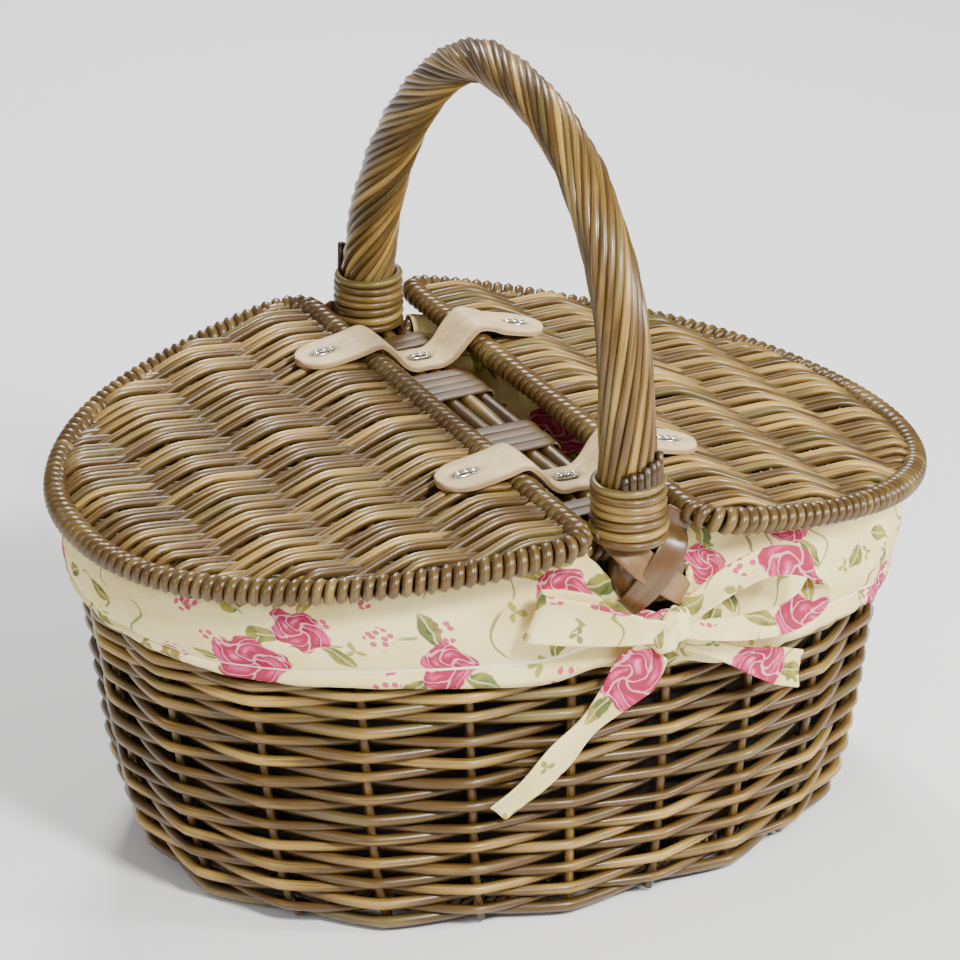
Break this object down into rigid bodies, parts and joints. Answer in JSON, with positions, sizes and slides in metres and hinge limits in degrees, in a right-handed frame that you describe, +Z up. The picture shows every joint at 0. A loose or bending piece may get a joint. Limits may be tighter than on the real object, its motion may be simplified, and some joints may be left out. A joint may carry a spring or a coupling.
{
  "type": "wicker picnic basket",
  "caption": "Oval woven willow hamper with a fixed hoop handle, hinged half lids on leather straps and a printed cotton lining tied with bows.",
  "frame": {"origin": "on the ground under the middle of the basket", "axes": "+Z up, +X along the length towards the right-hand lid, Y along the handle hoop, the near post at -Y"},
  "size_m": [0.39, 0.3016, 0.3461],
  "materials": {
    "willow_rod": "antique-stained willow rods, satin",
    "willow_skein": "dark split willow, satin",
    "tan_leather": "undyed leather, matt",
    "steel_wire": "bright twisted wire",
    "printed_cotton": "cream cotton with a rose print"
  },
  "bodies": {
    "basket": {"base_panel": "willow_rod", "crossbar_rod_1": "willow_rod", "crossbar_rod_2": "willow_rod", "crossbar_rod_3": "willow_rod", "crossbar_rod_4": "willow_rod", "crossbar_skein_far": "willow_skein", "crossbar_skein_inner_far": "willow_skein", "crossbar_skein_inner_near": "willow_skein", "crossbar_skein_near": "willow_skein", "far_bow_knot": "printed_cotton", "far_bow_loop_left": "printed_cotton", "far_bow_loop_right": "printed_cotton", "far_bow_tail_left": "printed_cotton", "far_bow_tail_right": "printed_cotton", "far_post_binding": "willow_rod", "far_post_lashing": "willow_skein", "far_strap_middle": "tan_leather", "far_stud_middle": "steel_wire", "foot_border": "willow_rod", "handle_core": "willow_rod", "handle_twisted_rods": "willow_rod", "lining_bag": "printed_cotton", "lining_skirt_left": "printed_cotton", "lining_skirt_right": "printed_cotton", "near_bow_knot": "printed_cotton", "near_bow_loop_left": "printed_cotton", "near_bow_loop_right": "printed_cotton", "near_bow_tail_left": "printed_cotton", "near_bow_tail_right": "printed_cotton", "near_post_binding": "willow_rod", "near_post_lashing": "willow_skein", "near_strap_middle": "tan_leather", "near_stud_middle": "steel_wire", "rim_border": "willow_rod", "side_weave": "willow_rod"},
    "lid_left": {"far_strap_left_end": "tan_leather", "far_stud_left": "steel_wire", "lid_left_border": "willow_rod", "lid_left_stick_1": "willow_rod", "lid_left_stick_2": "willow_rod", "lid_left_stick_3": "willow_rod", "lid_left_stick_4": "willow_rod", "lid_left_weave": "willow_rod", "near_strap_left_end": "tan_leather", "near_stud_left": "steel_wire"},
    "lid_right": {"far_strap_right_end": "tan_leather", "far_stud_right": "steel_wire", "lid_right_border": "willow_rod", "lid_right_stick_1": "willow_rod", "lid_right_stick_2": "willow_rod", "lid_right_stick_3": "willow_rod", "lid_right_stick_4": "willow_rod", "lid_right_weave": "willow_rod", "near_strap_right_end": "tan_leather", "near_stud_right": "steel_wire"}
  },
  "joints": [
    {"name": "lid_left_hinge", "type": "hinge", "parent": "basket", "child": "lid_left", "pos_m": [-0.0185, 0, 0.1904], "axis": [0, 1, 0], "range_deg": [0, 100]},
    {"name": "lid_right_hinge", "type": "hinge", "parent": "basket", "child": "lid_right", "pos_m": [0.0185, 0, 0.1904], "axis": [0, -1, 0], "range_deg": [0, 104]}
  ]
}
